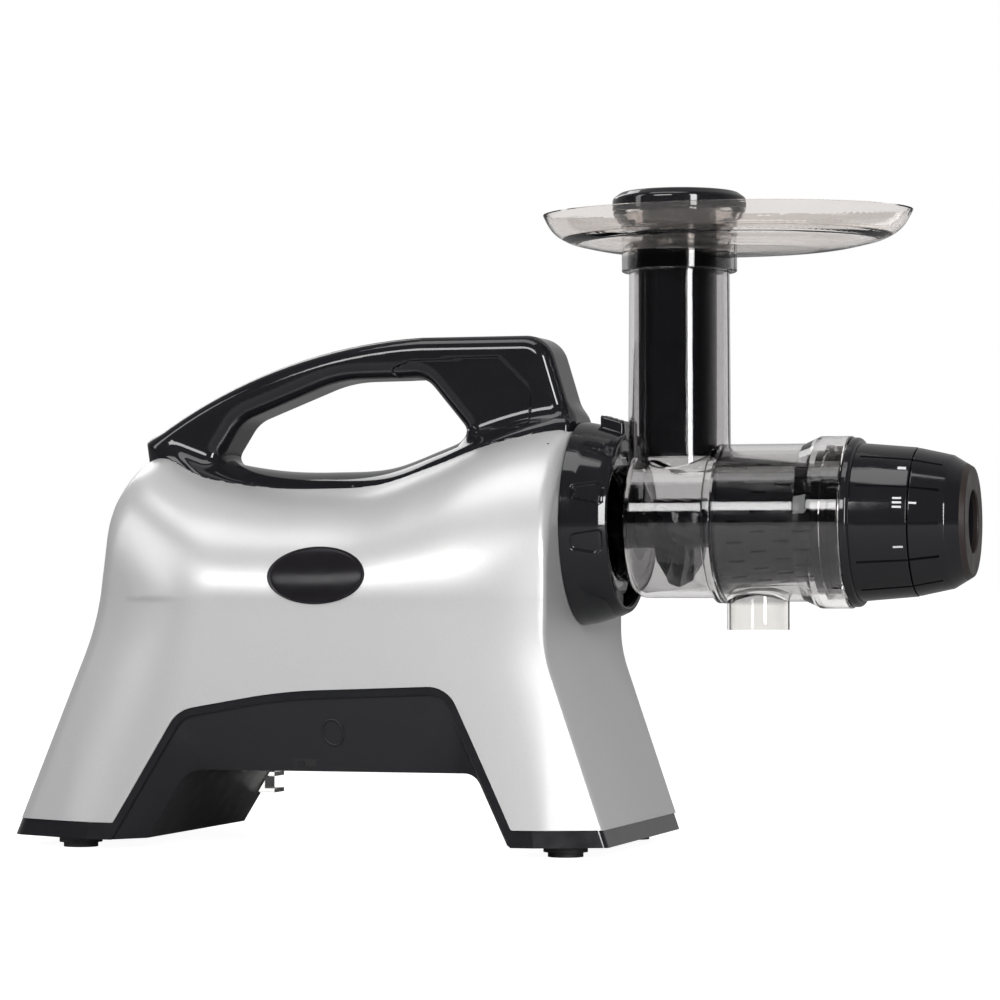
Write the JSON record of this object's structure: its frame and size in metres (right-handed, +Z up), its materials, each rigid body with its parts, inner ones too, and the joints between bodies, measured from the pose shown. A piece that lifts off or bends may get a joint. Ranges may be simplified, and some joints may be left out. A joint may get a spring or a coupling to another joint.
{
  "type": "cold press juicer",
  "caption": "Horizontal slow juicer: bridge-shaped silver motor base with carrying handle, clear drum with auger, locking ring, feed tray, pusher, spout and turning end cap.",
  "frame": {"origin": "On the floor under the middle of the bounding box, with the feet standing on Z = 0.", "axes": "+Z up, +X along the drum from the motor base towards the pulp nozzle, +Y across the machine away from the badge side."},
  "size_m": [0.4446, 0.1618, 0.3026],
  "materials": {
    "silver": "metallic silver lacquer over plastic",
    "gloss_black": "piano black",
    "matte_dark": "fine texture, charcoal",
    "smoke_clear": "clear plastic with a smoke tint",
    "rubber_dark": "matte",
    "steel": "plain",
    "screen_dark": "dark moulded strainer",
    "silicone": "silicone, dark",
    "auger_black": "polished black",
    "white_nylon": "natural acetal",
    "bronze": "sintered bronze",
    "laminate": "laminated core",
    "copper": "enamelled copper",
    "aluminium_cast": "die cast",
    "rocker_black": "moulded",
    "capacitor_grey": "moulded can",
    "terminal_white": "nylon",
    "cap_black": "polished black",
    "nozzle_brown": "fine matte, brown black",
    "pusher_black": "polished black"
  },
  "bodies": {
    "base": {"housing_shell": "silver", "base_tray": "gloss_black", "underbody": "matte_dark", "handle": "gloss_black", "badge": "gloss_black", "feet": "rubber_dark", "foot_screws": "steel", "socket": "matte_dark", "drum": "smoke_clear", "screen": "screen_dark", "drum_seal": "silicone", "gear_case": "matte_dark", "gear_cover": "matte_dark", "cover_screws": "steel", "rear_bush": "bronze", "front_bush": "bronze", "idler_axle": "steel", "motor_stator": "laminate", "motor_windings": "copper", "motor_rear_shield": "aluminium_cast", "motor_front_shield": "aluminium_cast", "motor_bushes": "bronze", "motor_cradle": "matte_dark", "switch_body": "gloss_black", "mains_inlet": "matte_dark", "capacitor": "capacitor_grey", "terminal_block": "terminal_white", "cable_clip": "smoke_clear"},
    "ring": {"locking_ring": "gloss_black", "ring_tab": "gloss_black"},
    "auger_drive": {"auger": "auger_black", "drive_spindle": "steel", "output_gear": "white_nylon"},
    "idler": {"idler_gear": "white_nylon", "idler_pinion": "steel"},
    "rotor": {"motor_rotor": "laminate", "motor_shaft": "steel", "motor_pinion": "steel", "cooling_fan": "matte_dark"},
    "cap": {"end_cap": "cap_black", "cap_seal": "silicone"},
    "dial": {"adjusting_dial": "cap_black", "nozzle_ring": "nozzle_brown"},
    "tray": {"feed_tray": "smoke_clear"},
    "pusher": {"pusher_tube": "pusher_black", "pusher_cap": "gloss_black"},
    "rocker": {"switch_rocker": "rocker_black"}
  },
  "joints": [
    {"name": "ring_turn", "type": "hinge", "parent": "base", "child": "ring", "pos_m": [0.05, 0, 0.15], "axis": [1, 0, 0], "range_deg": [0, 45]},
    {"name": "auger_spin", "type": "hinge", "parent": "base", "child": "auger_drive", "pos_m": [0.06, 0, 0.15], "axis": [1, 0, 0], "continuous": true},
    {"name": "idler_spin", "type": "hinge", "parent": "base", "child": "idler", "pos_m": [0, 0.02927, 0.12656], "axis": [1, 0, 0], "continuous": true},
    {"name": "rotor_spin", "type": "hinge", "parent": "base", "child": "rotor", "pos_m": [-0.07, 0, 0.12], "axis": [1, 0, 0], "continuous": true},
    {"name": "cap_turn", "type": "hinge", "parent": "base", "child": "cap", "pos_m": [0.18, 0, 0.15], "axis": [1, 0, 0], "range_deg": [0, 45]},
    {"name": "dial_turn", "type": "hinge", "parent": "cap", "child": "dial", "pos_m": [0.21, 0, 0.15], "axis": [1, 0, 0], "range_deg": [0, 120]},
    {"name": "tray_lift", "type": "slide", "parent": "base", "child": "tray", "axis": [0, 0, 1], "range_m": [0, 0.04]},
    {"name": "pusher_slide", "type": "slide", "parent": "tray", "child": "pusher", "axis": [0, 0, 1], "range_m": [0, 0.115]},
    {"name": "rocker_tip", "type": "hinge", "parent": "base", "child": "rocker", "pos_m": [-0.17654, 0, 0.13988], "axis": [0, 1, 0], "range_deg": [-10, 10]}
  ],
  "couplings": [
    {"joint": "idler_spin", "follows": "auger_spin", "ratio": -4},
    {"joint": "rotor_spin", "follows": "auger_spin", "ratio": 20}
  ]
}
